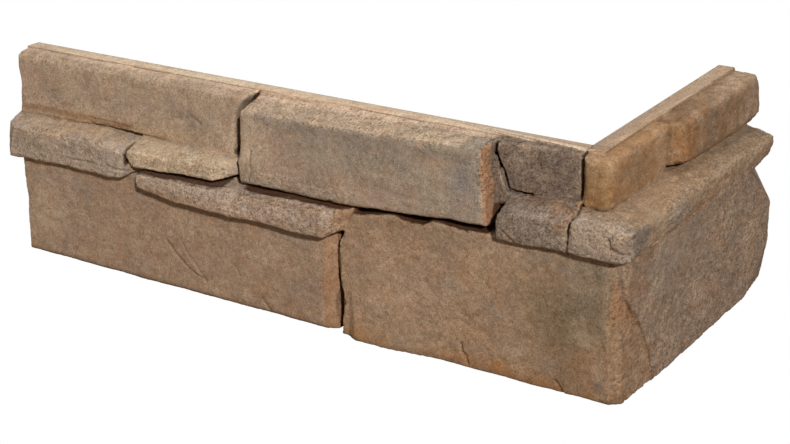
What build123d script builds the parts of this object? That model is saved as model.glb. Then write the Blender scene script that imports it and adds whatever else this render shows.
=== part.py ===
from build123d import *
import os

os.makedirs("parts", exist_ok=True)

# A precast corner panel of stacked ledge stone: two flat-backed legs at a right angle, cast in
# one piece with the stones that wrap round the outside corner. Sizes are in millimetres.

# Overall sizes. The legs are measured along their flat backs, from the inside corner.
HEIGHT = 150.0
LONG_LEG = 446.0
SHORT_LEG = 205.0

# The flat backing mix that shows as a strip along the top, and the stones' drop below it.
BACKING = 12.0
STRIP_STEP = 0.8

# How far each stone is rooted in the backing, and how much its sides open per mm towards it.
ROOT = 6.0
DRAFT = 0.05
ARRIS = 1.6

# How far the middle of each stone's face stands out from the flat back.
TALL_LEFT_REACH = 26.0
PROUD_MIDDLE_REACH = 38.0
CHIPPED_REACH = 23.0
DARK_TOP_REACH = 18.5
CORNER_TOP_REACH = 22.5
END_TOP_REACH = 31.5
LEDGE_LEFT_REACH = 41.5
LEDGE_SHORT_REACH = 43.0
LEDGE_LOW_REACH = 44.5
LEDGE_DARK_REACH = 43.0
LEDGE_CORNER_REACH = 46.0
BASE_LEFT_REACH = 33.0
BASE_RIGHT_REACH = 34.5
BASE_LUMP_REACH = 37.5
BASE_LUMP_WIDTH = 76.0
BASE_LUMP_HEIGHT = 62.0
BASE_SIDE_REACH = 43.0

# Heights of the joints: the underside of each top stone and of each ledge.
TALL_LEFT_FOOT = 104.0
PROUD_MIDDLE_FOOT = 95.0
DARK_TOP_FOOT = 116.0
CORNER_TOP_FOOT = 117.0
LEDGE_LEFT_FOOT = 75.0
LEDGE_SHORT_FOOT = 89.5
LEDGE_LOW_FOOT = 70.0
LEDGE_DARK_FOOT = 94.0
LEDGE_CORNER_FOOT = 96.0

# Places of the upright joints: along the long leg from the inside corner, then the short leg.
TOP_CRACK = 242.0
TOP_CRACK_WIDTH = 11.0
BASE_CRACK = 160.5
BASE_CRACK_WIDTH = 2.6
LEDGE_SHORT_START = 331.0
LEDGE_LOW_START = 322.0
LEDGE_LOW_END = 167.0
DARK_START = 53.0
LEDGE_DARK_START = 43.0
CORNER_JOINT = 3.2
JOINT_WIDTH = 1.4
SIDE_JOINT = 66.0

# How far the broken base corner runs back along the short leg, and its drop below the front.
CHIP_RUN = 10.0
CHIP_DROP = 1.4

# How deep the mould is, which no stone fills.
MOULD_DEPTH = 60.0

CREST = HEIGHT - STRIP_STEP

LONG_BACK = Plane(origin=(0, 0, 0), x_dir=(1, 0, 0), z_dir=(0, -1, 0))
SHORT_BACK = Plane(origin=(0, 0, 0), x_dir=(0, 1, 0), z_dir=(1, 0, 0))


def outline(*corners):
    """Points of a closed outline, anticlockwise. Each corner is (u, v, bump, bump, ...).

    The bumps stand on the side that leaves the corner, evenly spaced, outwards where positive.
    """
    points = []
    for here, there in zip(corners, corners[1:] + corners[:1]):
        start = Vector(here[0], here[1])
        side = Vector(there[0], there[1]) - start
        outwards = Vector(side.Y, -side.X).normalized()
        bumps = here[2:]
        points.append(start)
        for count, bump in enumerate(bumps, 1):
            points.append(start + side * (count / (len(bumps) + 1)) + outwards * bump)
    return points


def grown(points, amount):
    """The same outline with each side moved outwards by amount."""
    result = []
    for before, here, after in zip(points[-1:] + points[:-1], points, points[1:] + points[:1]):
        first = Vector(here.Y - before.Y, before.X - here.X).normalized()
        second = Vector(after.Y - here.Y, here.X - after.X).normalized()
        result.append(here + (first + second) * (amount / (1 + first.dot(second))))
    return result


def trim(block, inside, cuts):
    """Cuts a block by planes, each through three points (u, v, w), and keeps the inside point's side."""
    for first, second, third in cuts:
        a = Vector(*first)
        away = (Vector(*second) - a).cross(Vector(*third) - a)
        if away.dot(inside - a) > 0:
            away = away * -1
        block = split(block, bisect_by=Plane(origin=a, z_dir=away), keep=Keep.BOTTOM)
    return block


def band(lower, upper):
    """The flat side faces between two closed rings of points."""
    following = zip(lower, lower[1:] + lower[:1], upper, upper[1:] + upper[:1])
    return [Face(Wire.make_polygon((a, b, d, c))) for a, b, c, d in following]


def stone(corners, reach, swing=0.0, lean=0.0, arris=ARRIS, cuts=()):
    """A stone on a back plane: u along the wall, v up, w out of the wall.

    The face comes forward by swing for each millimetre to the right and by lean for each
    millimetre down. Its edge is worn by arris, and its sides open by DRAFT towards the back.
    """
    points = outline(*corners)
    middle = make_face(Polyline(*points, close=True)).center()
    points = [point - middle for point in points]
    front = Plane(origin=(middle.X, middle.Y, reach), x_dir=(1, 0, swing), z_dir=(-swing, lean, 1))
    depth = arris + reach
    spread = reach * DRAFT
    face_ring = [front.from_local_coords(point) for point in grown(points, -arris)]
    shoulder = [front.offset(-arris).from_local_coords(point) for point in points]
    far = [front.offset(-depth).from_local_coords(point) for point in grown(points, spread)]
    root = [a + (b - a) * ((a.Z - ROOT) / (a.Z - b.Z)) for a, b in zip(shoulder, far)]
    caps = [Face(Wire.make_polygon(root)), Face(Wire.make_polygon(face_ring))]
    block = Solid(Shell(caps + band(root, shoulder) + band(shoulder, face_ring)))
    return trim(block, Vector(middle.X, middle.Y, ROOT), cuts)


def backing():
    """The L of flat backing mix, with its bed and top square to the flat backs."""
    plan = Polyline(
        (-LONG_LEG, 0),
        (-LONG_LEG, -BACKING),
        (BACKING, -BACKING),
        (BACKING, SHORT_LEG),
        (0, SHORT_LEG),
        (0, 0),
        close=True,
    )
    return extrude(make_face(plan), amount=HEIGHT)


def top_course_long():
    """The tall stone at the left, the one that stands proudest, and the dark one by the corner."""
    crack_left = -TOP_CRACK - TOP_CRACK_WIDTH / 2
    crack_right = -TOP_CRACK + TOP_CRACK_WIDTH / 2
    proud_end = -DARK_START - 2
    foot = PROUD_MIDDLE_FOOT
    face = PROUD_MIDDLE_REACH
    edge = CREST - 4
    tall_left = stone(
        (
            (-LONG_LEG + 2, CREST, 0.2, -1.4, -0.2),
            (-LONG_LEG + 3.5, TALL_LEFT_FOOT, -1.4, -4.3, -3.7, -2.7),
            (crack_left - 2.5, TALL_LEFT_FOOT - 1.5, -1.2, -4.0, -6.8, -4.4),
            (crack_left + 10, CREST),
        ),
        TALL_LEFT_REACH,
        lean=0.06,
        arris=1.0,
        cuts=(((-1, edge, TALL_LEFT_REACH), (-99, edge, TALL_LEFT_REACH), (-1, CREST, TALL_LEFT_REACH - 6)),),
    )
    proud_middle = stone(
        (
            (crack_right + 1, CREST, -0.4, -0.6, 2.6),
            (crack_right, foot - 3.5, 0.4, 1.2, 2.6, 1.8, 1.0, -0.9),
            (proud_end + 4, foot + 4),
            (proud_end, CREST),
        ),
        face,
        cuts=(
            ((proud_end, CREST - 2, face), (proud_end - 100, CREST - 5, face), (proud_end, CREST, face - 11)),
            ((crack_right, CREST - 7, face), (-190, CREST - 1.5, face), (crack_right, CREST, face - 16)),
        ),
    )
    return tall_left + proud_middle


def dark_pair():
    """The recessed dark stone beside the corner, and the chip that a crack parts from it."""
    left = -DARK_START
    right = CORNER_JOINT - JOINT_WIDTH
    low = DARK_TOP_FOOT
    dark_top = stone(
        (
            (left + 0.6, CREST),
            (left, CREST - 6),
            (left + 4.6, CREST - 18),
            (left + 6.4, CREST - 21),
            (left + 9.2, low + 4.2),
            (left + 22, low + 3.4),
            (left + 35, low - 0.5),
            (right, low),
            (right - 1, CREST),
        ),
        DARK_TOP_REACH,
        swing=-0.12,
        lean=0.03,
        arris=1.2,
    )
    chip = stone(
        (
            (left - 7, CREST),
            (left - 7, low - 8),
            (left + 8, low - 5.5),
            (left + 33, low - 2),
            (left + 22, low + 1.8),
            (left + 7.6, low + 2.6),
            (left + 4.6, CREST - 22),
            (left + 2.8, CREST - 17),
            (left - 1.8, CREST - 6),
            (left - 1.2, CREST),
        ),
        CHIPPED_REACH,
        swing=-0.06,
        arris=0.8,
    )
    return dark_top + chip


def corner_top():
    """The ochre block that turns the outside corner at the top."""
    reach = CORNER_TOP_REACH
    foot = CORNER_TOP_FOOT
    front = stone(
        ((CORNER_JOINT, CREST, -1.0), (CORNER_JOINT + 1, foot + 1), (reach, foot + 1.5), (reach, CREST)),
        reach,
        arris=2.4,
    )
    side = stone(
        (
            (-reach, CREST),
            (-reach, foot + 1.5, -0.4, 0.8, 2.2),
            (SIDE_JOINT - 9, foot - 2),
            (SIDE_JOINT, foot + 3),
            (SIDE_JOINT - 1, CREST),
        ),
        reach,
        arris=2.4,
    )
    return front, side


def end_top():
    """The stone that ends the top course of the short leg."""
    foot = CORNER_TOP_FOOT
    reach = END_TOP_REACH
    seat = CORNER_TOP_REACH + 1
    end = SHORT_LEG - 1
    return stone(
        (
            (SIDE_JOINT, CREST),
            (SIDE_JOINT + 1, foot + 4.5, 1.2, 1.6, 0.9, 0.6),
            (end, foot - 1),
            (end - 1, CREST),
        ),
        reach,
        swing=0.016,
        lean=0.1,
        arris=2.2,
        cuts=(
            ((SIDE_JOINT, foot, seat), (SIDE_JOINT, CREST, seat), (SIDE_JOINT + 7, CREST, reach - 1)),
            ((end, foot - 2, reach - 5), (end, foot + 6, reach + 3), (end - 59, foot - 1, reach + 2)),
            ((end, CREST, reach - 4), (end, CREST - 7, reach + 1.5), (end - 69, CREST, reach - 2)),
        ),
    )


def left_ledges():
    """The three thin ledges that overlap one another between the tall stones and the base."""
    low = LEDGE_LEFT_FOOT
    reach = LEDGE_LEFT_REACH
    left_end = -LEDGE_SHORT_START - 5
    bend = left_end - 27
    far = -LONG_LEG
    long_ledge = stone(
        (
            (-LONG_LEG + 1, TALL_LEFT_FOOT, 1.0),
            (-LONG_LEG + 1.5, low - 1, -0.3, 0.2),
            (left_end - 4, low + 1.2),
            (left_end + 8, low + 8),
            (left_end + 4, TALL_LEFT_FOOT + 1),
        ),
        reach,
        arris=1.2,
        cuts=(
            ((far, low + 22.5, reach), (bend, low + 24.5, reach), (far, TALL_LEFT_FOOT, 24)),
            ((far, low - 1, reach - 1), (far, low + 20, reach - 5), (far + 9, low + 23, reach)),
            ((bend, low + 24.5, reach), (left_end, low + 20.5, reach), (bend, TALL_LEFT_FOOT + 2, 24)),
            ((left_end - 4, low, reach), (left_end, low + 22, reach), (left_end + 9, low + 8, reach - 9)),
        ),
    )
    low = LEDGE_SHORT_FOOT
    reach = LEDGE_SHORT_REACH
    left_end = -LEDGE_SHORT_START
    right_end = -TOP_CRACK - TOP_CRACK_WIDTH / 2 + 5
    short_ledge = stone(
        (
            (left_end + 2, TALL_LEFT_FOOT + 3),
            (left_end, low + 5),
            (left_end + 5, low - 2, 0.2, -0.6),
            (right_end - 14, low + 1.5),
            (right_end, low + 6),
            (right_end - 2, TALL_LEFT_FOOT + 1),
        ),
        reach,
        arris=1.2,
        cuts=(
            ((left_end, low + 9, reach), (right_end, low + 12, reach), (left_end, TALL_LEFT_FOOT + 1, 25)),
            ((right_end - 15, low, reach), (right_end - 14, low + 9, reach), (right_end, low + 8, reach - 8)),
        ),
    )
    low = LEDGE_LOW_FOOT
    reach = LEDGE_LOW_REACH
    left_end = -LEDGE_LOW_START
    right_end = -LEDGE_LOW_END
    low_ledge = stone(
        (
            (left_end, low + 26),
            (left_end, low + 3, 2.6, 2.4, 2.5, 0.9, 1.3),
            (right_end, low - 1.2),
            (right_end + 15, low + 7),
            (right_end + 20, low + 21),
            (right_end + 4, low + 27),
        ),
        reach,
        arris=1.2,
        cuts=(
            ((left_end, low + 13.5, reach), (right_end, low + 17, reach), (left_end, low + 17, reach - 15)),
            ((right_end - 1, low, reach), (right_end, low + 18, reach), (right_end + 16, low, reach - 11)),
        ),
    )
    return long_ledge + short_ledge + low_ledge


def ledge_dark():
    """The grey ledge under the dark stone."""
    low = LEDGE_DARK_FOOT
    reach = LEDGE_DARK_REACH
    left = -LEDGE_DARK_START
    right = CORNER_JOINT + 1
    top = DARK_TOP_FOOT
    return stone(
        (
            (left + 1, top, 0.5),
            (left, low, 0.6, 0.1),
            (right, low + 1.2),
            (right + 1, low + 10),
            (right - 1, top + 4),
        ),
        reach,
        arris=1.2,
        cuts=(
            ((left, low + 17, reach), (left + 9, low + 19.5, reach), (left, low + 21, reach - 18)),
            ((left + 9, low + 19.5, reach), (right, low + 22, reach), (left + 9, low + 24, reach - 18)),
        ),
    )


def ledge_corner():
    """The wide ledge that turns the corner and runs the whole length of the short leg."""
    low = LEDGE_CORNER_FOOT
    reach = LEDGE_CORNER_REACH
    top = CORNER_TOP_FOOT
    seat = CORNER_TOP_REACH
    left = CORNER_JOINT + 1 + JOINT_WIDTH
    front = stone(
        (
            (left + 1, top + 3, -1.2),
            (left, low, 0.1, 0.2),
            (reach, low + 1),
            (reach, top + 3),
        ),
        reach,
        arris=1.2,
        cuts=(((left, low + 21.5, reach), (reach, low + 21, reach), (left, top + 2.5, seat)),),
    )
    end = SHORT_LEG
    side = stone(
        (
            (-reach, top + 3),
            (-reach, low + 1, 0.4, -0.4, -1.2, -0.8),
            (end - 40, low - 5),
            (end, low - 6, -1),
            (end - 1, top - 2),
        ),
        reach + 1,
        arris=1.6,
        cuts=(
            ((-reach, low + 21, reach), (0, low + 20.5, reach), (-seat, top + 1.5, seat)),
            ((-13, low + 20.5, reach), (end - 70, low + 14.7, reach), (60, top, seat)),
            ((end - 70, low + 15, reach), (end, low + 10, reach), (end, top - 3, reach - 8)),
            ((end - 60, low - 4, reach - 1), (end, low + 6, reach + 1), (end, low - 7, reach - 7)),
        ),
    )
    return front, side


def base_course_long():
    """The two tall base stones of the long leg and the deep crack between them."""
    left_edge = -BASE_CRACK - BASE_CRACK_WIDTH / 2
    right_edge = -BASE_CRACK + BASE_CRACK_WIDTH / 2
    reach = BASE_LEFT_REACH
    low_start = -LEDGE_LOW_START
    base_left = stone(
        (
            (-LONG_LEG + 4.5, LEDGE_LEFT_FOOT + 3, 0.3, -1.2, -0.8),
            (-LONG_LEG + 7, 0),
            (left_edge - 2, 0, -2.6, 1.0, 0.2),
            (left_edge - 2, LEDGE_LOW_FOOT + 2),
            (low_start + 4, LEDGE_LOW_FOOT + 4),
            (low_start, LEDGE_SHORT_FOOT - 4),
            (low_start - 12, LEDGE_LEFT_FOOT + 4),
        ),
        reach,
        lean=0.04,
        arris=2.0,
        cuts=(
            ((left_edge - 11, 0, reach + 1), (left_edge - 10, 70, reach - 1), (left_edge, 40, reach - 6)),
        ),
    )
    reach = BASE_RIGHT_REACH
    base_right = stone(
        (
            (right_edge + 10, LEDGE_LOW_FOOT + 17, 0.0),
            (right_edge - 1, LEDGE_LOW_FOOT - 6, 0.4, -0.6, -2.6, -1.0),
            (right_edge + 1, 0),
            (BASE_SIDE_REACH - 9, 0, 0.4, -0.8, -0.6),
            (BASE_SIDE_REACH - 14, LEDGE_CORNER_FOOT + 1),
            (-LEDGE_DARK_START, LEDGE_DARK_FOOT, -1.4),
            (-LEDGE_DARK_START - 47.5, PROUD_MIDDLE_FOOT - 1),
            (-LEDGE_DARK_START - 54, PROUD_MIDDLE_FOOT - 5.3),
            (-LEDGE_DARK_START - 64, PROUD_MIDDLE_FOOT - 5.5),
            (-LEDGE_DARK_START - 76, PROUD_MIDDLE_FOOT - 3),
            (-LEDGE_DARK_START - 99, PROUD_MIDDLE_FOOT - 8),
        ),
        reach,
        swing=-0.006,
        arris=1.0,
    )
    foot = 2 * BASE_LUMP_REACH - reach
    lump = stone(
        (
            (right_edge + 4, BASE_LUMP_HEIGHT),
            (right_edge + 4, -BASE_LUMP_HEIGHT / 2),
            (right_edge + BASE_LUMP_WIDTH, -BASE_LUMP_HEIGHT / 2),
            (right_edge + BASE_LUMP_WIDTH, BASE_LUMP_HEIGHT),
        ),
        BASE_LUMP_REACH,
        lean=(foot - reach) / BASE_LUMP_HEIGHT,
        cuts=(
            (
                (right_edge + 2, 0, reach - 2),
                (right_edge + 5, BASE_LUMP_HEIGHT, reach - 2),
                (right_edge + 16, 0, foot),
            ),
            (
                (right_edge + BASE_LUMP_WIDTH, 0, reach - 1),
                (right_edge + BASE_LUMP_WIDTH - 16, BASE_LUMP_HEIGHT, reach - 1),
                (right_edge + 22, 0, foot),
            ),
        ),
    )
    return base_left + base_right + lump


def base_side():
    """The base stone of the short leg, which swells towards its bed and its far end."""
    reach = BASE_SIDE_REACH
    end = SHORT_LEG
    top = LEDGE_CORNER_FOOT
    return stone(
        (
            (1 - BASE_RIGHT_REACH, top + 1, 3.6, -0.8, -3.4),
            (CHIP_RUN, -6),
            (end - 1, 0, 0.5, -1.0, 0.5),
            (end, top - 12),
            (end - 12, top + 1),
        ),
        reach,
        swing=0.028,
        lean=0.045,
        arris=1.2,
        cuts=(
            ((end - 40, top - 8, reach + 1), (end, top - 40, reach + 3.5), (end, top - 21, reach - 8)),
            ((end - 30, 0, reach + 2.5), (end - 12, 30, reach + 5), (end, 5, reach)),
        ),
    )


def corner_chunk():
    """The rough broken corner of the base, which turns from the front to the side as it falls."""
    front = CHIP_DROP - BASE_RIGHT_REACH
    side = BASE_SIDE_REACH
    sections = []
    for z, run_in, nose, run_out in (
        (0, side - 9.5, (side - 3.5, front + 5.5), (side - 0.6, CHIP_RUN + 4)),
        (44, side - 12, (side - 7.5, front + 7.5), (side - 4, -2)),
        (LEDGE_CORNER_FOOT + 1, side - 14.5, (side - 11, front + 0.8), (side - 6.8, front + 7)),
    ):
        points = (
            (BACKING - 2, front + 1),
            (run_in, front),
            nose,
            run_out,
            (run_out[0] - 4, CHIP_RUN + 8),
            (BACKING - 2, CHIP_RUN + 8),
        )
        sections.append(Plane.XY.offset(z) * make_face(Polyline(*points, close=True)))
    return loft(sections, ruled=True)


def mould(depth):
    """The room between the mould's flat sides: the bed, the top, the two ends and a depth all round."""
    size = (LONG_LEG + depth, SHORT_LEG + depth, CREST)
    return Pos(-LONG_LEG, SHORT_LEG) * Box(*size, align=(Align.MIN, Align.MAX, Align.MIN))


def round_corner(front, side, reach, setback):
    """Joins a front and a side stone at the outside corner and breaks the corner's edge."""
    mitre = Plane(origin=(0, 0, 0), z_dir=(1, 1, 0))
    edge = Plane(origin=(reach - setback, -reach, 0), z_dir=(1, -1, 0))
    block = split(LONG_BACK * front, bisect_by=mitre, keep=Keep.BOTTOM)
    block += split(SHORT_BACK * side, bisect_by=mitre, keep=Keep.TOP)
    return split(block & mould(reach), bisect_by=edge, keep=Keep.BOTTOM)


stones = LONG_BACK * (top_course_long() + dark_pair() + left_ledges() + ledge_dark() + base_course_long())
stones += round_corner(*corner_top(), CORNER_TOP_REACH, 2.5)
stones += round_corner(*ledge_corner(), LEDGE_CORNER_REACH, 5.0)
stones += SHORT_BACK * (end_top() + base_side())
stones += corner_chunk()

panel = backing() + (stones & mould(MOULD_DEPTH))

# The row's origin is under the middle of the panel's bounding box, at its bed.
box = panel.bounding_box()
panel = Pos(-box.center().X, -box.center().Y, -box.min.Z) * panel

export_step(panel, "parts/corner_panel.step")
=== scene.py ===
import math

import bpy
import numpy as np
from mathutils import Matrix, Vector
from mathutils.bvhtree import BVHTree


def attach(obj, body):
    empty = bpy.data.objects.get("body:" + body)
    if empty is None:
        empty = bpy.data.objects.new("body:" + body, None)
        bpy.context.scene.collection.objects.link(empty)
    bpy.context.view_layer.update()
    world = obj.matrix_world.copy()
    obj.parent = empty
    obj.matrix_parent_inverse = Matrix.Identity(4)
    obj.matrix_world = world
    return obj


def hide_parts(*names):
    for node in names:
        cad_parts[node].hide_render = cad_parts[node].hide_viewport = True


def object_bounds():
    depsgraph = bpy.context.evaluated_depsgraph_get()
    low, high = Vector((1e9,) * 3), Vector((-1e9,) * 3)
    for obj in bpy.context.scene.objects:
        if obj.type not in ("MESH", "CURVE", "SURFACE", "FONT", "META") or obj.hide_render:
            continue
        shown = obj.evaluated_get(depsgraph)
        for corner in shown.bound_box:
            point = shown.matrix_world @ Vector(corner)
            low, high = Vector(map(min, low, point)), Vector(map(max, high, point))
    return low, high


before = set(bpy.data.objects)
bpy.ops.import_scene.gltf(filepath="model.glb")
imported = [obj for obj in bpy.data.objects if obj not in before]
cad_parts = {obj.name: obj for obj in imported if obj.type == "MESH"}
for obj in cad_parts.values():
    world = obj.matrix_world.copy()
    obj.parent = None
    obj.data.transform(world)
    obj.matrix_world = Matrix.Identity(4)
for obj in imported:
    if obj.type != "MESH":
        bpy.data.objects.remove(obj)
cad_low, cad_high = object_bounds()

# Everything on the panel is placed in millimetres from the inside corner of its two flat backs,
# at the bed: the long leg runs along -X and faces -Y, the short one runs along +Y and faces +X.
LONG_LEG = 446.0
SHORT_LEG = 205.0
HEIGHT = 150.0
BACKING = 12.0
ORIGIN = np.array((cad_low.x * 1000 + LONG_LEG, cad_high.y * 1000 - SHORT_LEG, cad_low.z * 1000))
LOWEST = np.array(cad_low) * 1000 - ORIGIN
HIGHEST = np.array(cad_high) * 1000 - ORIGIN

# The skin's first mesh size, its number of triangles at the end, and how far it stays in the CAD's box.
VOXEL = 0.7
MOST_TRIANGLES = 196000
ROOM_INSIDE_BOX = 0.05


def to_row(place):
    """A place in millimetres from the inside corner, as metres in the row's frame."""
    return Vector((np.array(place, dtype=float) + ORIGIN) / 1000)


# Numbers for whole arrays of points


def smooth(low, high, value):
    """0 below low, 1 above high, and a smooth rise between."""
    t = np.clip((value - low) / (high - low), 0.0, 1.0)
    return t * t * (3 - 2 * t)


def noise(points, seed):
    """Gradient noise from about -1 to 1 at each point, with features one unit wide."""
    cell = np.floor(points).astype(np.int64)
    part = points - cell
    fade = part * part * part * (part * (part * 6 - 15) + 10)
    total = np.zeros(len(points))
    for corner in range(8):
        step = np.array((corner & 1, corner >> 1 & 1, corner >> 2 & 1))
        key = cell + step
        code = key[:, 0] * 73856093 ^ key[:, 1] * 19349663 ^ key[:, 2] * 83492791 ^ seed * 2654435761
        code = (code ^ code >> 15) * 2246822519 & 0xFFFFFFFF
        code = (code ^ code >> 13) * 3266489917 & 0xFFFFFFFF
        away = part - step
        dot = np.zeros(len(points))
        for axis in range(3):
            slope = (code >> (4 + 9 * axis) & 255) / 127.5 - 1
            dot += slope * away[:, axis]
        weight = np.prod(np.where(step, fade, 1 - fade), axis=1)
        total += dot * weight
    return total * 1.3


def layers(points, width, seed, count=3, fall=0.5):
    """Noise of several widths, each half as wide and fall times as strong as the one before."""
    total = np.zeros(len(points))
    strength = 1.0
    for octave in range(count):
        total += strength * noise(points / width, seed + octave * 17)
        width = width / 2
        strength *= fall
    return total


def shaken(points, width, amount, seed, count=2):
    """The points moved about by noise, so that what is measured from them has ragged edges."""
    moves = [layers(points, width, seed + axis * 2, count) for axis in range(3)]
    return points + amount * np.stack(moves, axis=1)


def blob(points, centre, radii):
    """1 at the centre, falling softly to a fifth at the radii and to 0 beyond."""
    apart = (points - np.array(centre, dtype=float)) / np.array(radii, dtype=float)
    return np.exp(-1.6 * np.sum(apart * apart, axis=1))


def inside(points, low, high, soft):
    """1 within a box, falling to 0 over soft millimetres outside it."""
    result = np.ones(len(points))
    for axis in range(3):
        result *= smooth(low[axis] - soft, low[axis], points[:, axis])
        result *= 1 - smooth(high[axis], high[axis] + soft, points[:, axis])
    return result


def along(points, path, axes):
    """Distance from each point to a line through the path, both seen along the third axis."""
    flat = points[:, axes]
    nearest = np.full(len(points), 1e9)
    for start, end in zip(path, path[1:]):
        start = np.array(start, dtype=float)
        side = np.array(end, dtype=float) - start
        share = np.clip((flat - start) @ side / (side @ side), 0, 1)
        nearest = np.minimum(nearest, np.linalg.norm(flat - start - share[:, None] * side, axis=1))
    return nearest


def reach_out(places):
    """How far each point stands out from the flat backs."""
    return np.maximum(places[:, 0], -places[:, 1])


# The casting's surface


def remeshed(source, size):
    """The source's mesh as an even skin of squares, a little rounded at its edges."""
    copy = bpy.data.objects.new("rough_cast", source.data.copy())
    bpy.context.scene.collection.objects.link(copy)
    grid = copy.modifiers.new("grid", "REMESH")
    grid.mode = "VOXEL"
    grid.voxel_size = size / 1000
    worn = copy.modifiers.new("worn", "SMOOTH")
    worn.factor = 0.5
    worn.iterations = 1
    ready = copy.evaluated_get(bpy.context.evaluated_depsgraph_get())
    mesh = bpy.data.meshes.new_from_object(ready)
    bpy.data.objects.remove(copy)
    return mesh


def read(mesh):
    """Places in millimetres from the inside corner, and normals, of a mesh's points."""
    count = len(mesh.vertices)
    places = np.empty(count * 3)
    mesh.vertices.foreach_get("co", places)
    normals = np.empty(count * 3)
    mesh.vertices.foreach_get("normal", normals)
    return places.reshape(-1, 3) * 1000 - ORIGIN, normals.reshape(-1, 3)


def write(mesh, places):
    """Moves a mesh's points to places in millimetres from the inside corner."""
    mesh.vertices.foreach_set("co", ((places + ORIGIN) / 1000).ravel())
    mesh.update()


def softened(mesh, places, rounds):
    """The places after each point has moved to the middle of its neighbours, so many times over."""
    ends = np.empty(len(mesh.edges) * 2, dtype=np.int32)
    mesh.edges.foreach_get("vertices", ends)
    first, second = ends[0::2], ends[1::2]
    both = np.concatenate((first, second))
    other = np.concatenate((second, first))
    count = np.maximum(np.bincount(both, minlength=len(places)), 1)
    mean = places.copy()
    for _ in range(rounds):
        total = [np.bincount(both, weights=mean[other, axis], minlength=len(places)) for axis in range(3)]
        mean = np.stack(total, axis=1) / count[:, None]
    return mean


def height_over(places, mean, normals):
    """How far each point stands over its softened surroundings: above 0 on arrises, below in corners."""
    return np.sum((places - mean) * normals, axis=1)


# Cracks on the long face: (points (x, z), half width, depth, nearest the face has to stand out).
LONG_CRACKS = (
    # The left base stone's long crack and scratches
    (
        ((-305.5, 34.9), (-298.9, 27.2), (-291.2, 21.4), (-286.1, 18.0), (-278.4, 14.4), (-271.4, 12.2)),
        0.6, 1.0, 28,
    ),
    (((-293.8, 37.4), (-285.5, 27.2), (-277.2, 18.4), (-271.5, 11.4)), 0.4, 0.6, 28),
    (((-250.6, 30.4), (-245.6, 27.1), (-242.4, 22.6)), 0.5, 0.7, 28),
    (((-223.6, 10.2), (-220.4, 5.8), (-215.5, 1.0)), 0.6, 1.0, 28),
    # The ledges and tall stones of the long leg
    (((-383.9, 82.9), (-372.6, 83.4), (-362.3, 83.9)), 0.5, 0.9, 36),
    (((-351.1, 84.4), (-342.0, 83.9), (-333.0, 82.6)), 0.5, 0.9, 36),
    (((-225.8, 115.6), (-227.8, 106.2), (-227.2, 101.5), (-229.1, 95.5)), 0.5, 0.9, 34),
    (((-285.4, 127.0), (-280.4, 125.1), (-276.2, 122.9)), 0.6, 0.7, 22),
    (((-376.4, 111.8), (-357.8, 111.3), (-330.7, 108.6)), 0.5, 0.5, 22),
    # The right base stone's foot
    (((-68.1, 15.6), (-68.0, 10.7), (-64.3, 8.2), (-62.8, 3.0)), 0.6, 1.3, 28),
    (((-3.4, 7.7), (0.1, 5.3), (3.0, 0.5)), 0.6, 1.3, 28),
    # The two ledge stones at the corner
    (((-39.0, 102.3), (-34.2, 98.8), (-30.0, 95.2)), 0.6, 1.0, 38),
    (((32.6, 111.6), (34.3, 107.0), (40.4, 104.0), (45.6, 103.9)), 0.6, 1.1, 40),
    # The dark stone's crack, the foot of the corner's top stone, and the gap between the two
    (
        ((-53.2, 149), (-54, 143), (-52, 138), (-50.5, 134), (-47.5, 130.8), (-46.6, 127), (-45, 120.5)),
        0.7, 4.0, 14,
    ),
    (((-45, 120.5), (-40, 119), (-30, 118.7)), 0.5, 2.5, 14),
    (((3.2, 118.7), (9, 119.1), (15, 118.8), (21.5, 119.1)), 0.75, 2.6, 14),
    (((2.0, 150), (0.8, 146), (1.9, 137), (2.6, 130), (2.4, 123), (3.0, 116)), 0.3, 3.0, 12),
    # The joint between the two base stones
    (
        (
            (-163, 70), (-161.5, 58), (-160.8, 50), (-162, 38), (-159.5, 31), (-158, 24), (-159.8, 11),
            (-162.5, 6), (-160.5, -1),
        ),
        1.4, 8.0, 20,
    ),
    # The pale ledge's left end, and the gap between the two tall stones
    (((-334.2, 99), (-333.2, 93), (-333.8, 88)), 1.3, 4.0, 26),
    (((-236, 148.8), (-242.2, 140), (-245.7, 135.8)), 0.4, 1.6, 12),
    (
        (
            (-241.4, 135.8), (-243.7, 129.9), (-245.6, 124), (-242.4, 120), (-244.9, 116.4),
            (-242.7, 109.8), (-243.5, 107),
        ),
        1.9, 5.0, 12,
    ),
)

# Cracks seen from above: (points (x, y), half width, depth).
TOP_CRACKS = (
    (((2.2, -32), (2.8, -24), (1.6, -14), (0.4, -6), (0, 0)), 0.5, 3.0),
    (((-53.2, -30), (-55, -22), (-60, -16)), 0.4, 0.8),
)

# Stones that are worn round: (box low, box high, share of the way to the softened surface).
ROUNDED = (
    ((26, -34, 97), (50, 205, 121), 1.0),
    ((4, -50, 97), (50, -26, 121), 0.8),
    ((-446, -50, 76), (-335, -34, 104), 0.15),
    ((-334, -50, 70), (-150, -34, 104), 0.25),
    ((4, -31, 121), (41, 205, 150), 0.5),
    ((-446, -46, 110), (-58, -13, 150), 0.35),
    ((-46, -50, 92), (2, -30, 119), 0.5),
)

# Pits: (area low (x, y, z), area high, how many, largest radius).
PITS = (
    ((-232, -37, 141), (-75, -13, 151), 130, 0.8),
    ((10, -47, 98), (40, -40, 118), 22, 1.0),
    ((-60, -40, 125), (-20, -12, 150), 12, 0.8),
    ((28, -30, 0), (48, 30, 90), 26, 1.0),
    ((-446, -46, 76), (-150, -38, 98), 46, 0.8),
    ((20, -20, 118), (48, 200, 150), 24, 0.8),
    ((-230, -50, 70), (-170, -40, 88), 30, 1.0),
)


# How often the skin is softened to find its arrises and corners, closely and widely.
CLOSE_ROUNDS = 10
WIDE_ROUNDS = 70

CHIP_DEPTH = 1.1
PIT_SEED = 20

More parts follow.
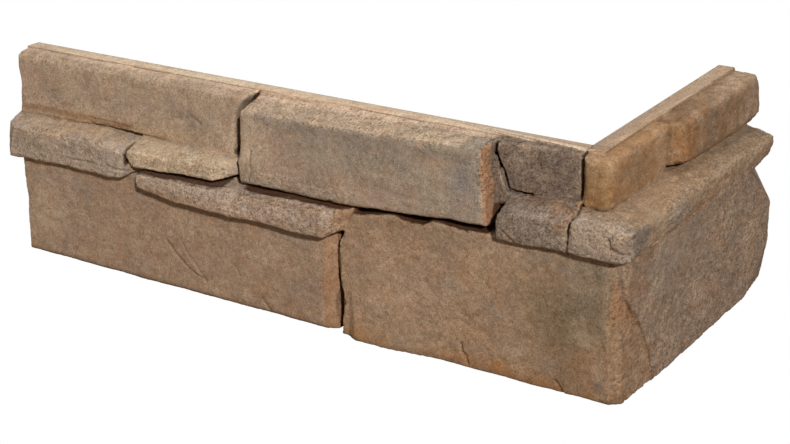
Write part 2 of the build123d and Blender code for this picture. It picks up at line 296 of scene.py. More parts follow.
# Points nearer to the backs' planes than this stay flat.
BACK_SKIN = 0.8

# The beds that some stones split into: how thick they are, and how long.
BED_THICK = 2.4
BED_LONG = 30

# The line along the top where the stones' mix meets the backing's: depth, and width on each leg.
SEAM_DEPTH = 0.9
SEAM_WIDTH_LONG = 0.8
SEAM_WIDTH_SHORT = 1.2


def relief_share(places):
    """1 on the stones and 0 on the flat backing, and less beside the flat ends of the legs."""
    to_end = np.minimum(places[:, 0] + LONG_LEG, SHORT_LEG - places[:, 1])
    flat_end = 1 - smooth(0.5, 4, to_end)
    return smooth(BACKING - 0.5, BACKING + 5, reach_out(places)) * (1 - 0.6 * flat_end)


def weathered(places, normals, relief, standing, wide, standing_wide):
    """The skin with ragged outlines, arrises worn round and chips broken from them."""
    off_bed = 0.3 + 0.7 * smooth(0, 9, places[:, 2])
    moves = shaken(places, 34, 0.5, 3) - places
    moves += off_bed[:, None] * (shaken(places, 8, 0.34, 13, 3) - places)
    share = np.zeros(len(places))
    for low, high, most in ROUNDED:
        share = np.maximum(share, most * inside(places, low, high, 3))
    moves += (share * smooth(0.0, 0.6, standing_wide))[:, None] * (wide - places)
    chips = smooth(0.1, 0.45, standing) * smooth(0.25, 0.7, layers(places, 7, 23, 3)) * off_bed
    moved = places + relief[:, None] * moves
    return moved - normals * (CHIP_DEPTH * chips * relief)[:, None]


def grain_lift(places, normals):
    """How far hollows, swellings and grain lift each point along its normal."""
    on_short = smooth(34, 37, places[:, 0]) * smooth(-46, -38, places[:, 1])
    short_base = on_short * (places[:, 2] < 96)
    rough = 0.55 + 0.45 * smooth(-0.4, 0.5, layers(places, 45, 31, 2))
    slaty = inside(places, (-446, -60, 66), (-148, -20, 103), 5)
    slaty = np.maximum(slaty, inside(places, (-46, -60, 92), (60, 205, 120), 4))
    broken = np.maximum(
        inside(places, (-56, -40, 108), (-44, -10, 150), 3),
        inside(places, (30, -36, 0), (48, 24, 92), 6) * smooth(0.15, 0.6, normals[:, 0]),
    )

    # Slow swellings, which are larger on the ledges.
    lift = 0.6 * layers(places, 38, 41, 2)
    lift += 1.1 * inside(places, (34, -30, 97), (50, 205, 117), 3) * layers(places, 24, 37, 2)
    lift += 0.7 * inside(places, (-446, -50, 70), (-150, -38, 104), 3) * layers(places, 22, 39, 2)

    # Coarse and fine grain on every stone.
    lift += 0.26 * rough * (1 - 0.3 * short_base) * layers(places, 11, 43, 3)
    lift += 0.2 * (rough + 0.5 * short_base) * layers(places, 3.0, 47, 2, 0.7)

    # Thin beds along the ledges, and the rougher faces where a stone is broken.
    along_short = (1 / BED_THICK, 1 / BED_LONG, 1 / BED_THICK)
    along_long = (1 / BED_LONG, 1 / BED_THICK, 1 / BED_THICK)
    beds = np.where(on_short[:, None] > 0.5, along_short, along_long)
    lift += slaty * 0.34 * layers(places * beds, 1.0, 53, 2, 0.6)
    lift += slaty * 0.2 * layers(places, 4, 57, 2)
    lift += broken * (0.3 + 0.3 * (places[:, 2] < 50)) * layers(places, 6, 61, 3)
    return lift


def groove(apart, half):
    """The section of a crack: 1 on its line, and 0 from a little beyond its half width."""
    return 1 - smooth(half * 0.25, half * 1.7 + 0.2, apart)


def crack_depth(places, normals):
    """How deep the cracks, and the seam along the top, are cut at each point."""
    sink = np.zeros(len(places))
    faces_front = (normals[:, 1] < -0.25) & (places[:, 0] < 47)
    faces_top = smooth(0.4, 0.8, normals[:, 2])
    wobble = shaken(places, 6, 0.8, 71)
    for path, half, depth, near in LONG_CRACKS:
        shape = groove(along(wobble, path, [0, 2]), half)
        sink = np.maximum(sink, depth * shape * (-places[:, 1] > near) * faces_front)
    for path, half, depth in TOP_CRACKS:
        shape = groove(along(wobble, path, [0, 1]), half)
        sink = np.maximum(sink, depth * shape * faces_top * (places[:, 2] > HEIGHT - 6))

    # The seam runs along both legs, but not over the corner.
    off_seam = np.abs(reach_out(places) - BACKING - 0.5 * layers(places, 30, 83, 2))
    off_seam += 2 * ((places[:, 0] > 1) & (places[:, 1] < -7))
    width = np.where(places[:, 0] > 1, SEAM_WIDTH_SHORT, SEAM_WIDTH_LONG)
    seam = SEAM_DEPTH * (1 - smooth(0.1, width, off_seam)) * faces_top * (places[:, 2] > HEIGHT - 4)
    return np.maximum(sink, seam)


def press_pits(places, normals, moved, sink):
    """Presses small round pits into the moved skin, and adds them to how deep it is sunk."""
    dice = np.random.default_rng(PIT_SEED)
    for low, high, count, largest in PITS:
        nearby = np.flatnonzero(np.all((places > low) & (places < high), axis=1))
        for chosen in dice.choice(nearby, count):
            radius = largest * dice.uniform(0.5, 1.0)
            apart = np.linalg.norm(places[nearby] - places[chosen], axis=1)
            deep = radius * 0.9 * (1 - smooth(0.2 * radius, radius * 1.5, apart))
            moved[nearby] -= normals[nearby] * deep[:, None]
            sink[nearby] = np.maximum(sink[nearby], deep)


def carve(mesh, places, normals):
    """Turns the plain skin into worn cast stone, and says how sunk and how exposed each point is."""
    relief = relief_share(places)
    standing = height_over(places, softened(mesh, places, CLOSE_ROUNDS), normals)
    wide = softened(mesh, places, WIDE_ROUNDS)
    standing_wide = height_over(places, wide, normals)

    moved = weathered(places, normals, relief, standing, wide, standing_wide)
    moved += normals * (grain_lift(places, normals) * relief)[:, None]
    sink = crack_depth(places, normals)
    moved -= normals * sink[:, None]
    press_pits(places, normals, moved, sink)

    moved = np.minimum(np.maximum(moved, LOWEST + ROOM_INSIDE_BOX), HIGHEST - ROOM_INSIDE_BOX)
    flat_back = reach_out(places) < BACK_SKIN
    moved[flat_back] = places[flat_back]
    return moved, sink, standing, standing_wide


# Colour over the stones


def tone(red, green, blue):
    """A colour given on the 0 to 255 display scale, as linear light."""
    value = np.array((red, green, blue)) / 255
    return np.where(value <= 0.04045, value / 12.92, ((value + 0.055) / 1.055) ** 2.4)


TAUPE = tone(138, 118, 100)
TAN = tone(144, 121, 100)
PINK_TAN = tone(146, 121, 103)
SAND = tone(160, 139, 116)
STRAW = tone(158, 131, 98)
GREY = tone(114, 102, 91)
DARK_GREY = tone(98, 87, 78)
BLUE_GREY = tone(116, 110, 106)
OLIVE = tone(108, 93, 72)
BROWN = tone(128, 102, 78)
RUST = tone(140, 97, 62)
ORANGE = tone(134, 101, 74)
TAN_END = tone(142, 106, 78)
OCHRE = tone(138, 105, 72)
GRAVEL = tone(102, 87, 74)
# Dark mix in the joints, also used as painted shade in cracks, corners and recesses.
SHADE_AND_EARTH = tone(66, 37, 17)
# Dirt, also used as painted shade in cracks and inner corners.
DUST_AND_SHADE = tone(90, 68, 50)
SHELL = tone(190, 180, 168)
FOOT_RUST = tone(142, 98, 54)
FOOT_RIM = tone(100, 74, 48)
LEDGE_TOP = tone(142, 116, 90)
PLAIN_MIX = tone(150, 134, 114)

# The stones' own colours: (colour, box low, box high, soft edge).
STONES = (
    # The long leg's top course, from the left
    (tone(146, 126, 106), (-446, -46, 103), (-240, 0, 150), 2),
    (tone(134, 120, 104), (-240, -46, 90), (-55, -13, 150), 1),
    (tone(98, 84, 73), (-53, -46, 114), (3, -13, 150), 1),
    # Its ledges, from the left
    (tone(144, 128, 113), (-446, -50, 74), (-334, -20, 103), 2),
    (tone(161, 142, 119), (-334, -50, 88), (-240, -20, 104), 2),
    (tone(149, 131, 115), (-324, -50, 68), (-150, -20, 88), 2),
    # The two ledge stones at the corner, and the short leg's ledge
    (tone(114, 101, 89), (-46, -50, 93), (6, -15, 117), 1),
    (tone(137, 122, 107), (6, -50, 95), (50, -30, 119), 3),
    (tone(132, 110, 88), (12, -30, 92), (50, 205, 118), 5),
    # The corner's top stone, its front, and the short leg's second one
    (tone(138, 105, 73), (3, -30, 119.4), (40, 65, 150), 0.7),
    (tone(127, 96, 62), (3, -27, 119.4), (28, -20, 147), 1),
    (tone(117, 91, 66), (12, 65, 116), (40, 205, 150), 1),
    # The base: left, right, broken corner and short leg
    (tone(136, 113, 93), (-446, -44, 0), (-161, -13, 76), 2),
    (tone(135, 111, 88), (-160, -44, 0), (30, -13, 96), 1),
    (tone(124, 99, 78), (30, -36, 0), (42, 14, 96), 1),
    (tone(126, 106, 89), (40, -34, 0), (50, 205, 96), 2),
    # The long leg's sloping tops, and the backing's strip on each leg
    (tone(154, 134, 112), (-234, -36.5, 141.5), (-70, -13, 150), 0.6),
    (tone(176, 152, 129), (-446, -17, 147), (-52, -11, 150), 4),
    (tone(185, 167, 142), (-446, -11, 148), (2, 0, 150), 0.5),
    (tone(164, 139, 112), (-1, -6, 148), (11, 205, 150), 0.5),
)

# Stains laid over the stones, in order: (colour, centre, radii, strength).
STAINS = (
    # The right base stone, up to the corner
    (OLIVE, (12, -34, 56), (36, 12, 36), 0.75),
    (GREY, (0, -34, 86), (46, 12, 10), 0.6),
    (TAN, (-110, -36, 46), (54, 12, 26), 0.5),
    (RUST, (-48, -38, 2), (60, 20, 7), 0.75),
    (RUST, (8, -38, 4), (18, 20, 6), 0.6),
    (tone(106, 95, 78), (16, -34, 82), (16, 12, 14), 0.8),
    (RUST, (20, -36, 25), (16, 14, 10), 0.5),
    (DARK_GREY, (27, -36, 9), (9, 12, 6), 0.85),
    # The proud stone
    (BLUE_GREY, (-66, -38, 120), (13, 14, 28), 0.75),
    (SAND, (-78, -38, 112), (6, 14, 14), 0.3),
    (PINK_TAN, (-212, -38, 116), (28, 14, 26), 0.75),
    (GREY, (-140, -38, 132), (60, 14, 9), 0.5),
    (PINK_TAN, (-140, -38, 106), (56, 14, 12), 0.6),
    # The tall left stone
    (PINK_TAN, (-428, -26, 128), (16, 12, 24), 0.6),
    (GREY, (-300, -26, 128), (44, 14, 10), 0.45),
    (STRAW, (-330, -26, 108), (80, 12, 6), 0.7),
    # The left base stone, and the end of the ledge over it
    (ORANGE, (-442, -30, 8), (12, 14, 10), 0.7),
    (ORANGE, (-156, -40, 82), (8, 16, 8), 0.6),
    (BROWN, (-205, -33, 12), (34, 14, 14), 0.7),
    (GREY, (-200, -33, 62), (44, 14, 9), 0.45),
    (GREY, (-400, -33, 62), (50, 14, 9), 0.4),
    (DARK_GREY, (-400.5, -33, 12.5), (3, 8, 3.4), 0.8),
    # The long leg's ledges
    (DARK_GREY, (-205, -45, 79), (6, 8, 4), 0.7),
    (DARK_GREY, (-168, -45, 78), (3, 8, 9), 0.6),
    (STRAW, (-380, -34, 101), (60, 14, 4), 0.6),
    (GREY, (-420, -42, 86), (30, 8, 10), 0.3),
    # The ledge round the corner
    (tone(88, 78, 71), (48, -30, 110), (12, 20, 10), 0.9),
    (BLUE_GREY, (48, 30, 104), (10, 26, 6), 0.5),
    (SAND, (30, -44, 112), (24, 8, 8), 0.5),
    (PINK_TAN, (16, -46, 99), (12, 8, 6), 0.5),
    (ORANGE, (-5, -36, 114), (11, 9, 5), 0.8),
    (OCHRE, (-14, -28, 117), (24, 12, 4), 0.5),
    (ORANGE, (46, 60, 98), (8, 60, 5), 0.85),
    # Second coats, laid over all of these
    (tone(128, 88, 50), (28, 74, 132), (12, 14, 24), 0.8),
    (tone(170, 150, 127), (-226, -38, 118), (18, 14, 26), 0.75),
    (tone(96, 86, 78), (49, -30, 105), (9, 13, 12), 0.75),
    (tone(138, 125, 110), (50, 28, 108), (8, 18, 5), 0.6),
    (FOOT_RUST, (-30, -38, 5), (44, 20, 7), 0.55),
    (FOOT_RUST, (-142, -38, 4), (16, 20, 7), 0.55),
    (tone(130, 94, 62), (36, 52, 146), (10, 26, 8), 0.6),
    (tone(92, 76, 57), (0, -34, 46), (28, 12, 34), 0.62),
    (tone(112, 92, 72), (-110, -36, 88), (44, 12, 8), 0.65),
    (tone(112, 84, 58), (2, -34, 14), (24, 12, 13), 0.6),
    (tone(154, 135, 115), (-410, -33, 42), (34, 12, 30), 0.55),
    (tone(160, 140, 122), (-214, -46, 78), (46, 10, 10), 0.6),
    (tone(150, 118, 92), (36, -32, 70), (5, 12, 22), 0.5),
    (tone(98, 86, 72), (14, -34, 70), (18, 12, 22), 0.6),
    (tone(140, 112, 84), (30, 60, 117), (16, 60, 4), 0.7),
    (tone(160, 140, 116), (26, -28, 117), (20, 14, 4), 0.5),
    (tone(170, 146, 120), (20, 184, 150), (16, 62, 5), 0.75),
    (RUST, (34, 96, 140), (8, 16, 8), 0.5),
    (DARK_GREY, (32, 108, 140), (6, 5, 6), 0.6),
    (TAUPE, (34, 186, 134), (12, 26, 18), 0.6),
    (OLIVE, (24, 20, 130), (8, 24, 14), 0.3),
    (GREY, (44, 20, 70), (14, 40, 22), 0.4),
)

# Flat bands of another colour: (colour, box low, box high, soft edge, strength).
BANDS = (
    (GRAVEL, (-57, -36, 112), (-45.5, -10, 150), 1.2, 0.9),
    (ORANGE, (-173, -60, 0), (-163, -20, 70), 1.5, 0.75),
    (tone(120, 84, 52), (-446, -31, 108.5), (-336, -18, 112), 0.8, 0.55),
    (GREY, (-215, -46, 136.5), (-62, -36, 141), 0.8, 0.5),
    (tone(118, 93, 70), (-234, -52, 86), (-168, -42, 93), 1.5, 0.65),
)

# The places between and under the stones painted with dark mix and shade, with painted shadow on the
# floors under overhangs: (box low, box high, strength, where in it).
SHADED_RECESSES = (
    ((-253, -24.5, 88), (-235, -9, 148), 0.97, "tucked"),
    ((-149, -33, 80), (-52, -9, 99.5), 0.97, "all"),
    ((-240, -41.5, 78), (-150, -20, 93), 0.95, "floor"),
    ((-322, -46, 80), (-250, -20, 93), 0.9, "floor"),
    ((-163.5, -30.5, 0), (-158, -9, 68), 0.95, "tucked"),
    ((-54, -35, 90), (-43.5, -9, 112), 0.97, "tucked"),
)

# The inner corners painted with a dark line of shade and mix: (box low, box high, strength).
SHADED_CORNER_LINES = (
    ((3, -36, 112), (27, -16, 128), 0.95),
    ((26, -24, 112), (44, 205, 128), 0.55),
    ((-446, -34, 98), (-240, -18, 114), 0.3),
    ((-46, -40, 110), (3, -18, 122), 0.4),
)

# Stones with a coarse grain: (box low, box high, strength of the mottling, of the speckle and pinholes).
GRAINY = (
    ((-57, -39, 112), (2, -10, 150), 0.34, 1.45),
    ((-46, -50, 92), (6, -15, 118), 0.3, 1.4),
    ((6, -50, 94), (50, -20, 119), 0.24, 1.25),
    ((28, -40, 0), (42, 30, 96), 0.14, 1.1),
    ((42, -40, 0), (50, 205, 96), 0.18, 1.3),
    ((30, 10, 92), (50, 205, 115), 0.16, 1.25),
    ((-446, -50, 66), (-148, -38, 103), 0.19, 1.25),
    ((-236, -37, 141), (-58, -13, 150), 0.08, 1.25),
    ((-446, -30, 141), (-245, -13, 150), 0.08, 1.05),
    ((12, 65, 116), (41, 205, 150), 0.12, 1.05),
)

# Where the base's broken corner ends on the side: heights, and places along the short leg.
BREAK_HEIGHTS = (0, 24, 53, 70, 88)
BREAK_ENDS = (12, 4.5, -14, -27.5, -32.7)


# How far back the proud stone's tan end reaches: heights, and places across the face.
TAN_HEIGHTS = (90, 97, 104, 120, 140)
TAN_BACKS = (-39.5, -36, -30, -25.5, -29)


def tan_end(places, normals):
    """The tan end of the proud stone, which is narrower near its foot."""
    back = np.interp(places[:, 2], TAN_HEIGHTS, TAN_BACKS)
    share = smooth(0.35, 0.7, normals[:, 0]) * (1 - smooth(0.0, 1.5, places[:, 1] - back))
    return share * inside(places, (-58, -60, 88), (-42, -10, 150), 1)


def broken_corner(places):
    """The rough corner of the base, between the front's arris and the side's."""
    end = np.interp(places[:, 2], BREAK_HEIGHTS, BREAK_ENDS)
    share = smooth(28.5, 30, places[:, 0]) * (1 - smooth(-0.6, 0.8, places[:, 1] - end))
    return share * (1 - smooth(94, 96, places[:, 2]))


def mixed(colour, shade, share):
    """The colours moved towards a shade by each point's share."""
    return colour + (shade - colour) * share[:, None]


# How long and wide the marks of the brush are on each leg, and on the short leg's base and top stones.
BRUSH_ALONG_LONG = (16, 5, 2.6)
BRUSH_ALONG_SHORT = (3.0, 16, 2.6)
BRUSH_ON_SIDE = (5, 8, 4)

# The strength of the mottling and of the speckle on a stone with a plain grain.
PLAIN_MOTTLE = 0.07
PLAIN_SPECKLE = 0.92


def stone_tones(places, ragged):
    """Each stone's own colour and its stains, under clouds of pale sand, grey and rust."""
    colour = np.tile(TAUPE, (len(places), 1))
    for shade, low, high, soft in STONES:
        colour = mixed(colour, shade, inside(ragged, low, high, soft))
    cloudy = shaken(places, 24, 7, 101, 3)
    for shade, centre, radii, strength in STAINS:
        colour = mixed(colour, shade, strength * blob(cloudy, centre, radii))
    wash = layers(places, 34, 111, 4, 0.65)
    colour = mixed(colour, SAND, 0.3 * smooth(0.05, 0.8, wash))
    colour = mixed(colour, GREY, 0.36 * smooth(0.05, 0.8, -wash))
    warm = layers(places, 20, 117, 4, 0.65)
    return mixed(colour, RUST, 0.2 * smooth(0.2, 0.9, warm))


def end_tones(colour, places, normals, ragged):
    """The broken corner with its pale flecks, the bands, and the proud stone's tan end."""
    broken = broken_corner(shaken(places, 7, 0.9, 93, 3))
    colour = mixed(colour, BROWN, 0.85 * broken)
    colour = mixed(colour, OLIVE, 0.7 * broken * inside(ragged, (28, -60, 56), (31, 0, 88), 0.7))
    colour = mixed(colour, ORANGE, 0.85 * broken * inside(ragged, (32, -60, 52), (44, 0, 96), 1.5))
    flecks = smooth(0.62, 0.8, noise(places / 2.4, 97)) * smooth(-0.1, 0.4, noise(places / 14, 99))
    colour = mixed(colour, SHELL, 0.75 * broken * flecks * (places[:, 2] < 60))
    for shade, low, high, soft, strength in BANDS:
        colour = mixed(colour, shade, strength * inside(ragged, low, high, soft))
    return mixed(colour, TAN_END, 0.95 * tan_end(ragged, normals))


def grain_tones(colour, places, ragged):
    """The colour with marks of the brush along the stones and mottling, and the speckle's strength."""
    side_stone = (places[:, 0] > 12) & (places[:, 1] > -30) & ((places[:, 2] < 96) | (places[:, 2] > 119))
    run = np.where(places[:, 1:2] > -20, BRUSH_ALONG_SHORT, BRUSH_ALONG_LONG)
    run = np.where(side_stone[:, None], BRUSH_ON_SIDE, run)
    colour = colour * (1 + 0.13 * layers(places / run, 1.0, 131, 3, 0.7))[:, None]
    mottle = np.full(len(places), PLAIN_MOTTLE)
    speckle = np.full(len(places), PLAIN_SPECKLE)
    for low, high, wide, fine in GRAINY:
        here = inside(ragged, low, high, 1)
        mottle += (wide - mottle) * here
        speckle += (fine - speckle) * here
    colour *= np.clip(1 + mottle * layers(places, 3.0, 151, 2, 0.9), 0.4, 1.8)[:, None]
    return colour, speckle


def rubbed_and_highlit_tones(colour, places, normals, ragged, standing):
    """The colour with paler arrises, partly wear and partly painted highlight, the rim along the long
    leg's foot and the short ledge's top.
    """
    # Painted highlight and wear on the arrises.
    pale = smooth(0.1, 0.5, standing) * (places[:, 2] > 3)
    pale *= 1 - inside(places, (-236, -42, 134), (-52, -30, 150), 3)
    pale *= 1 - inside(places, (34, -36, 0), (44, 20, 92), 2)
    colour = mixed(colour, SAND, 0.24 * pale)
    foot = (1 - smooth(0.5, 6, ragged[:, 2])) * (places[:, 1] < -20)
    colour = mixed(colour, FOOT_RIM, 0.6 * foot)
    ledge = inside(places, (24, -34, 114), (48, 205, 121), 2) * smooth(0.45, 0.8, normals[:, 2])
    return mixed(colour, LEDGE_TOP, 0.5 * ledge)


def break_line(places, ragged):
    """1 along the line where the base's broken corner ends, which wavers a little."""
    end = np.interp(places[:, 2], BREAK_HEIGHTS, BREAK_ENDS)
    line = 1 - smooth(0.4, 1.5, np.abs(ragged[:, 1] * 0.4 + places[:, 1] * 0.6 - end))
    line *= smooth(34, 37, places[:, 0]) * (1 - smooth(86, 92, places[:, 2]))
    return line


def dust_and_shade_share(line, hollow, standing, standing_wide):
    """How much dirt and painted shade lie on each point: in shallow cracks, in corners and along the
    broken line.
    """
    dust_and_shade = np.maximum(0.7 * smooth(0.25, 1.0, hollow), 0.3 * smooth(0.25, 0.9, -standing))
    dust_and_shade = np.maximum(dust_and_shade, 0.45 * smooth(0.6, 2.2, -standing_wide))
    return np.maximum(dust_and_shade, 0.75 * line)


def shade_and_earth_share(places, normals, ragged, hollow, standing, open_sky):
    """How much dark mix and painted shade show: in deep cracks, in inner corners, where little sky is
    open, in the recesses between and under stones, and below the proud stone's tan end.
    """
    # Painted shade in deep cracks and wherever little sky is open.
    shade_and_earth = np.maximum(0.9 * smooth(1.2, 2.6, hollow), 0.9 * (1 - smooth(0.06, 0.4, open_sky)))
    parts = {
        "all": 1.0,
        "tucked": 1 - smooth(0.55, 0.9, open_sky),
        # "floor" is painted shadow on up-facing surfaces under the overhanging stones.
        "floor": smooth(0.3, 0.7, normals[:, 2]) * (1 - smooth(0.7, 0.95, open_sky)),
    }
    for low, high, strength, part in SHADED_RECESSES:
        shade_and_earth = np.maximum(shade_and_earth, strength * inside(ragged, low, high, 0.8) * parts[part])
    # Painted shade lines in the inner corners.
    for low, high, strength in SHADED_CORNER_LINES:
        shade_and_earth = np.maximum(shade_and_earth, strength * inside(places, low, high, 1) * smooth(0.25, 0.7, -standing))
    # Painted shadow and dark mix on the proud stone's end below its tan part.
    end = smooth(0.35, 0.7, normals[:, 0]) * inside(ragged, (-58, -40, 88), (-41, -10, 111), 1)
    return np.maximum(shade_and_earth, 0.95 * end * (1 - tan_end(ragged, normals)))


def paint(places, normals, hollow, standing, standing_wide, open_sky):
    """The casting's colour at each point, before the finest speckle, and how coarse its grain is."""
    ragged = shaken(places, 9, 1.3, 91, 3)
    colour = stone_tones(places, ragged)
    colour = end_tones(colour, places, normals, ragged)
    colour, speckle = grain_tones(colour, places, ragged)
    colour = rubbed_and_highlit_tones(colour, places, normals, ragged, standing)
    # Dirt in cracks and along the break, and painted shade in cracks and inner corners.
    dust_and_shade = dust_and_shade_share(break_line(places, ragged), hollow, standing, standing_wide)
    colour = mixed(colour, DUST_AND_SHADE, dust_and_shade)
    shade_and_earth = shade_and_earth_share(places, normals, ragged, hollow, standing, open_sky)
    # Dark mix in the joints, with painted shade in the recesses, inner corners, sheltered places and under
    # overhanging stones.
    colour = mixed(colour, SHADE_AND_EARTH, shade_and_earth)

    # The hidden backs show the plain mix.
    colour = mixed(colour, PLAIN_MIX, 1 - smooth(0.2, 0.9, reach_out(places)))
    return np.clip(colour, 0.002, 1), speckle


# How the open sky is measured at a point: its rays' start off the skin, reach, number and seed.
SKY_START = 0.4
SKY_REACH = 14.0
SKY_RAYS = 10
SKY_SEED = 4


def sky_seen(mesh, places, normals):
    """How open each point is to its surroundings within a short reach, from 0 to 1."""
    corners = [tuple(place) for place in places]
    tree = BVHTree.FromPolygons(corners, [tuple(face.vertices) for face in mesh.polygons])
    dice = np.random.default_rng(SKY_SEED)
    rays = dice.normal(size=(SKY_RAYS, 3))
    rays /= np.linalg.norm(rays, axis=1)[:, None]
    seen = np.zeros(len(places))
    start = places + normals * SKY_START
    for ray in rays:
        facing = normals @ ray
        way = np.where(facing[:, None] >= 0, ray, ray - 2 * facing[:, None] * normals)
        for index in range(len(places)):
            hit = tree.ray_cast(Vector(start[index]), Vector(way[index]), SKY_REACH)
            seen[index] += 1.0 if hit[0] is None else hit[3] / SKY_REACH
    return seen / len(rays)


def stone_skin():
    """The dressed casting that stands for the CAD solid."""
    mesh = remeshed(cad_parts["corner_panel"], VOXEL)
    places, normals = read(mesh)
    moved, *marks = carve(mesh, places, normals)
    write(mesh, moved)
    names = ("hollow", "standing", "standing_wide")
    for name, values in zip(names, marks):
        mesh.attributes.new(name, "FLOAT", "POINT").data.foreach_set("value", values)

    skin = bpy.data.objects.new("stone_skin", mesh)
    bpy.context.scene.collection.objects.link(skin)
    triangles = sum(len(face.vertices) - 2 for face in mesh.polygons)
    fewer = skin.modifiers.new("fewer", "DECIMATE")
    fewer.ratio = min(1.0, MOST_TRIANGLES / triangles)
    ready = skin.evaluated_get(bpy.context.evaluated_depsgraph_get())
    mesh = bpy.data.meshes.new_from_object(ready)
    skin.modifiers.clear()
    skin.data = mesh
    mesh.shade_smooth()

    places, normals = read(mesh)
    marks = np.zeros((len(names), len(mesh.vertices)))
    for row, name in zip(marks, names):
        mesh.attributes[name].data.foreach_get("value", row)
    colour, grain = paint(places, normals, *marks, sky_seen(mesh, places, normals))
    tint = mesh.color_attributes.new("tint", "FLOAT_COLOR", "POINT")
    tint.data.foreach_set("color", np.hstack([colour, grain[:, None]]).ravel())
    return skin


# Materials


def fine_noise(tree, place, scale, detail):
    """Noise from 0 to 1 at a place."""
    grain = tree.nodes.new("ShaderNodeTexNoise")
    grain.inputs["Scale"].default_value = scale
    grain.inputs["Detail"].default_value = detail
    grain.inputs["Roughness"].default_value = 0.7
    tree.links.new(place, grain.inputs["Vector"])
    return grain.outputs["Fac"]


def spread(tree, value, low, high, least, most):
    """A value that goes from least at low to most at high."""
    change = tree.nodes.new("ShaderNodeMapRange")
    change.inputs["From Min"].default_value = low
    change.inputs["From Max"].default_value = high
    change.inputs["To Min"].default_value = least
    change.inputs["To Max"].default_value = most
    tree.links.new(value, change.inputs["Value"])
    return change.outputs["Result"]


def reckoned(tree, operation, *values):
    """What a Math node makes of sockets and plain numbers."""
    step = tree.nodes.new("ShaderNodeMath")
    step.operation = operation
    for entry, value in zip(step.inputs, values):
        if isinstance(value, float):
            entry.default_value = value
        else:
            tree.links.new(value, entry)
    return step.outputs[0]


def darkened(tree, base, share, colour):
    """The base colour, multiplied by another one by a share."""
    mix = tree.nodes.new("ShaderNodeMix")
    mix.data_type = "RGBA"
    mix.blend_type = "MULTIPLY"
    tree.links.new(share, mix.inputs["Factor"])
    tree.links.new(base, mix.inputs["A"])
    mix.inputs["B"].default_value = (*colour, 1)
    return mix.outputs["Result"]


def stone_material():
    """Rough cast stone: the painted tint with mottling, fine speckle, pinholes darkened with painted
    shade, pores and grain.
    """
    material = bpy.data.materials.new("cast_stone")
    material.use_nodes = True
    tree = material.node_tree
    shader = tree.nodes["Principled BSDF"]
    shader.inputs["Specular IOR Level"].default_value = 0.2
    coordinates = tree.nodes.new("ShaderNodeTexCoord").outputs["Object"]
    tint = tree.nodes.new("ShaderNodeVertexColor")
    tint.layer_name = "tint"
    coarseness = tint.outputs["Alpha"]

    # The faces towards +X are seen and brushed along Y, so their grain runs that way.
    stretch = tree.nodes.new("ShaderNodeVectorMath")
    stretch.operation = "MULTIPLY"
    stretch.inputs[1].default_value = (1, 0.55, 1)
    tree.links.new(coordinates, stretch.inputs[0])
    drawn = stretch.outputs["Vector"]

    # Speckle makes the tint lighter and darker, more so where the grain is coarse.
    coarse = spread(tree, fine_noise(tree, drawn, 260, 5), 0.32, 0.68, -0.2, 0.2)
    fine_grain = fine_noise(tree, drawn, 900, 4)
    fine = spread(tree, fine_grain, 0.3, 0.7, -0.42, 0.42)
    speckle = reckoned(tree, "MULTIPLY_ADD", reckoned(tree, "ADD", coarse, fine), coarseness, 1.0)
    scaled = tree.nodes.new("ShaderNodeVectorMath")
    scaled.operation = "SCALE"
    tree.links.new(tint.outputs["Color"], scaled.inputs[0])
    tree.links.new(speckle, scaled.inputs["Scale"])

    # Warm and cool patches.
    warm = spread(tree, fine_noise(tree, drawn, 110, 5), 0.48, 0.7, 0.0, 0.75)
    cool = spread(tree, fine_noise(tree, drawn, 75, 5), 0.5, 0.72, 0.0, 0.6)
    colour = darkened(tree, scaled.outputs["Vector"], warm, (0.86, 0.74, 0.62))
    colour = darkened(tree, colour, cool, (0.84, 0.85, 0.88))

    # Pinholes, many where the grain is coarse and few elsewhere, darkened with painted shade.
    holes = spread(tree, fine_noise(tree, drawn, 620, 3), 0.58, 0.66, 0.0, 1.0)
    pinholes = reckoned(tree, "MULTIPLY", holes, spread(tree, coarseness, 0.85, 1.35, 0.1, 0.9))
    colour = darkened(tree, colour, pinholes, (0.46, 0.38, 0.31))
    tree.links.new(colour, shader.inputs["Base Color"])

    sheen = spread(tree, fine_noise(tree, drawn, 500, 2), 0.3, 0.7, 0.82, 0.98)
    tree.links.new(sheen, shader.inputs["Roughness"])

    # Pores, grain and pinholes also stand in the surface.
    pores = tree.nodes.new("ShaderNodeTexVoronoi")
    pores.inputs["Scale"].default_value = 420
    tree.links.new(coordinates, pores.inputs["Vector"])
    deep = spread(tree, pores.outputs["Distance"], 0.05, 0.35, 0.0, 1.0)
    height = reckoned(tree, "MULTIPLY_ADD", deep, 0.35, fine_grain)
    bump = tree.nodes.new("ShaderNodeBump")
    bump.inputs["Strength"].default_value = 0.7
    bump.inputs["Distance"].default_value = 0.0007
    tree.links.new(reckoned(tree, "SUBTRACT", height, pinholes), bump.inputs["Height"])
    tree.links.new(bump.outputs["Normal"], shader.inputs["Normal"])
    return material


def show_to_camera(tree, seen, plain, output):
    """Gives camera rays the seen shader, and all other rays the plain one."""
    path = tree.nodes.new("ShaderNodeLightPath")
    choice = tree.nodes.new("ShaderNodeMixShader")
    tree.links.new(path.outputs["Is Camera Ray"], choice.inputs["Fac"])
    tree.links.new(plain, choice.inputs[1])
    tree.links.new(seen, choice.inputs[2])
    tree.links.new(choice.outputs["Shader"], tree.nodes[output].inputs["Surface"])


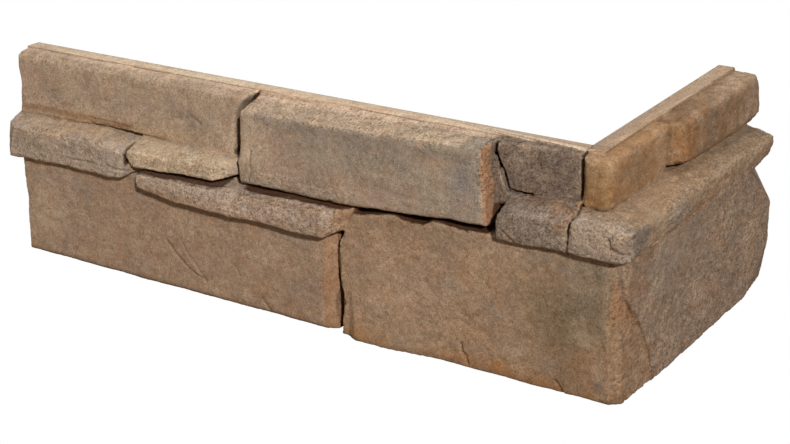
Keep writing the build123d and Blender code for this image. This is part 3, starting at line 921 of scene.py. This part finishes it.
def floor_material():
    """Pale matt floor that the camera sees as the photograph's plain white ground."""
    material = bpy.data.materials.new("pale_floor")
    material.use_nodes = True
    tree = material.node_tree
    shader = tree.nodes["Principled BSDF"]
    shader.inputs["Base Color"].default_value = (0.28, 0.23, 0.18, 1)
    shader.inputs["Roughness"].default_value = 0.9
    shader.inputs["Specular IOR Level"].default_value = 0.1
    white = tree.nodes.new("ShaderNodeEmission")
    white.inputs["Color"].default_value = (1, 1, 1, 1)
    show_to_camera(tree, white.outputs["Emission"], shader.outputs["BSDF"], "Material Output")
    return material


# The object

skin = stone_skin()
skin.data.materials.clear()
skin.data.materials.append(stone_material())
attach(skin, "root")
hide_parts("corner_panel")

# Floor, light and camera

# The floor's half width, and how far it lies below the casting so that the two don't touch.
FLOOR_HALF = 6.0
FLOOR_GAP = 0.0002
FLOOR_CORNERS = ((-1, -1), (1, -1), (1, 1), (-1, 1))

floor_mesh = bpy.data.meshes.new("floor")
floor_height = cad_low.z - FLOOR_GAP
corners = [(x * FLOOR_HALF, y * FLOOR_HALF, floor_height) for x, y in FLOOR_CORNERS]
floor_mesh.from_pydata(corners, [], [(0, 1, 2, 3)])
floor = bpy.data.objects.new("floor", floor_mesh)
floor_mesh.materials.append(floor_material())
bpy.context.scene.collection.objects.link(floor)

# The lights point at about the panel's middle.
AIM = to_row((-150, -20, 60))


def soft_light(name, direction, distance, size, power, colour=(1, 1, 1)):
    """A square area light that shines on the panel from a direction."""
    data = bpy.data.lights.new(name, "AREA")
    data.shape = "SQUARE"
    data.size = size
    data.energy = power
    data.color = colour
    lamp = bpy.data.objects.new(name, data)
    towards = Vector(direction).normalized()
    lamp.location = AIM + towards * distance
    lamp.rotation_euler = towards.to_track_quat("Z", "Y").to_euler()
    bpy.context.scene.collection.objects.link(lamp)
    return lamp


soft_light("key", (0.96, -1.0, 0.8), distance=5.2, size=0.3, power=360)
soft_light("overhead", (-0.1, 0.25, 1.0), distance=2.2, size=2.2, power=44)
soft_light("fill", (-0.5, -1.0, 0.2), distance=2.6, size=2.4, power=16, colour=(1, 0.8, 0.6))

world = bpy.data.worlds.new("room")
bpy.context.scene.world = world
world.use_nodes = True
room = world.node_tree.nodes["Background"]
room.inputs["Color"].default_value = (1, 1, 1, 1)
room.inputs["Strength"].default_value = 0.05
backdrop = world.node_tree.nodes.new("ShaderNodeBackground")
backdrop.inputs["Color"].default_value = (1, 1, 1, 1)
show_to_camera(world.node_tree, backdrop.outputs["Background"], room.outputs["Background"], "World Output")

bpy.context.scene.view_settings.view_transform = "Standard"

# The camera as solved from the photograph: its place, its direction from the panel and its lens.
CAMERA_PLACE = (367.6, -816.0, 449.9)
CAMERA_AZIMUTH = math.radians(31.81)
CAMERA_ELEVATION = math.radians(21.49)
FOCAL_PIXELS = 1574
IMAGE_WIDTH = 790
SENSOR = 36.0

camera_data = bpy.data.cameras.new("camera")
camera_data.sensor_fit = "HORIZONTAL"
camera_data.sensor_width = SENSOR
camera_data.lens = FOCAL_PIXELS / IMAGE_WIDTH * SENSOR
camera_data.clip_start = 0.05
camera = bpy.data.objects.new("camera", camera_data)
back = Vector(
    (
        math.sin(CAMERA_AZIMUTH) * math.cos(CAMERA_ELEVATION),
        -math.cos(CAMERA_AZIMUTH) * math.cos(CAMERA_ELEVATION),
        math.sin(CAMERA_ELEVATION),
    )
)
right = Vector((math.cos(CAMERA_AZIMUTH), math.sin(CAMERA_AZIMUTH), 0))
turn = Matrix((right, back.cross(right), back)).transposed()
camera.matrix_world = Matrix.Translation(to_row(CAMERA_PLACE)) @ turn.to_4x4()
bpy.context.scene.collection.objects.link(camera)
bpy.context.scene.camera = camera
